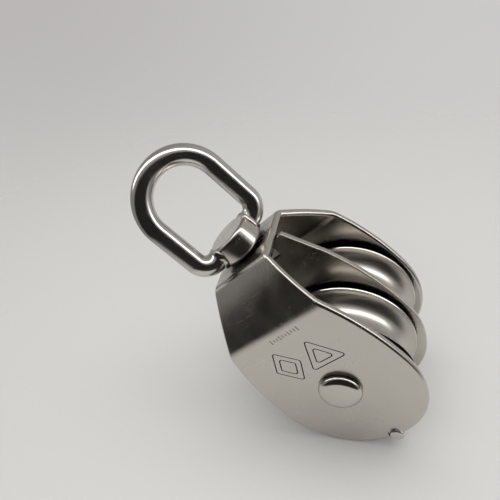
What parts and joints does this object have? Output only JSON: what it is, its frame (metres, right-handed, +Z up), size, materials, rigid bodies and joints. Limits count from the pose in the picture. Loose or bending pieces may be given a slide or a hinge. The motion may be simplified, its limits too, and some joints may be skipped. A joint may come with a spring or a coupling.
{
  "type": "double sheave block",
  "caption": "Twin-sheave rope pulley block with folded cheeks, a centre partition, ball-bearing wheels and a swivelling closed eye.",
  "frame": {"origin": "where the block hangs: the inside of the eye bar, at the top of the eye, on the swivel axis", "axes": "+Z up along the swivel axis, +Y along the sheaves' axle from the near cheek to the far cheek, +X across the cheeks"},
  "size_m": [0.053, 0.0564, 0.1249],
  "materials": {
    "sheet_steel": "satin tumbled sheet with bright cut edges",
    "polished_steel": "mirror polished round bar",
    "turned_steel": "fine turning marks",
    "bearing_steel": "ground",
    "cage_brass": "machined"
  },
  "bodies": {
    "frame": {"side_strap": "sheet_steel", "partition_plate": "sheet_steel", "tie_rod": "polished_steel", "axle_pin": "turned_steel", "bearing_inner_ring_near": "bearing_steel", "bearing_inner_ring_far": "bearing_steel", "spacer_near_outboard": "turned_steel", "spacer_near_inboard": "turned_steel", "spacer_far_outboard": "turned_steel", "spacer_far_inboard": "turned_steel"},
    "eye": {"swivel_stud": "polished_steel", "swivel_washer": "turned_steel", "eye_bail": "polished_steel"},
    "wheel_near": {"sheave_near": "turned_steel", "bearing_outer_ring_near": "bearing_steel", "bearing_shield_near_outboard": "bearing_steel", "bearing_shield_near_inboard": "bearing_steel"},
    "wheel_far": {"sheave_far": "turned_steel", "bearing_outer_ring_far": "bearing_steel", "bearing_shield_far_outboard": "bearing_steel", "bearing_shield_far_inboard": "bearing_steel"},
    "balls_near": {"bearing_cage_near": "cage_brass", "ball_near_1": "bearing_steel", "ball_near_2": "bearing_steel", "ball_near_3": "bearing_steel", "ball_near_4": "bearing_steel", "ball_near_5": "bearing_steel", "ball_near_6": "bearing_steel", "ball_near_7": "bearing_steel"},
    "balls_far": {"bearing_cage_far": "cage_brass", "ball_far_1": "bearing_steel", "ball_far_2": "bearing_steel", "ball_far_3": "bearing_steel", "ball_far_4": "bearing_steel", "ball_far_5": "bearing_steel", "ball_far_6": "bearing_steel", "ball_far_7": "bearing_steel"}
  },
  "joints": [
    {"name": "eye_swivel", "type": "hinge", "parent": "frame", "child": "eye", "pos_m": [0, 0, -0.03839], "axis": [0, 0, 1], "continuous": true},
    {"name": "sheave_near_spin", "type": "hinge", "parent": "frame", "child": "wheel_near", "pos_m": [0, -0.0113, -0.08674], "axis": [0, 1, 0], "continuous": true},
    {"name": "sheave_far_spin", "type": "hinge", "parent": "frame", "child": "wheel_far", "pos_m": [0, 0.0113, -0.08674], "axis": [0, 1, 0], "continuous": true},
    {"name": "balls_near_orbit", "type": "hinge", "parent": "frame", "child": "balls_near", "pos_m": [0, -0.0113, -0.08674], "axis": [0, 1, 0], "continuous": true},
    {"name": "balls_far_orbit", "type": "hinge", "parent": "frame", "child": "balls_far", "pos_m": [0, 0.0113, -0.08674], "axis": [0, 1, 0], "continuous": true}
  ],
  "couplings": [
    {"joint": "balls_near_orbit", "follows": "sheave_near_spin", "ratio": 0.625},
    {"joint": "balls_far_orbit", "follows": "sheave_far_spin", "ratio": 0.625}
  ]
}
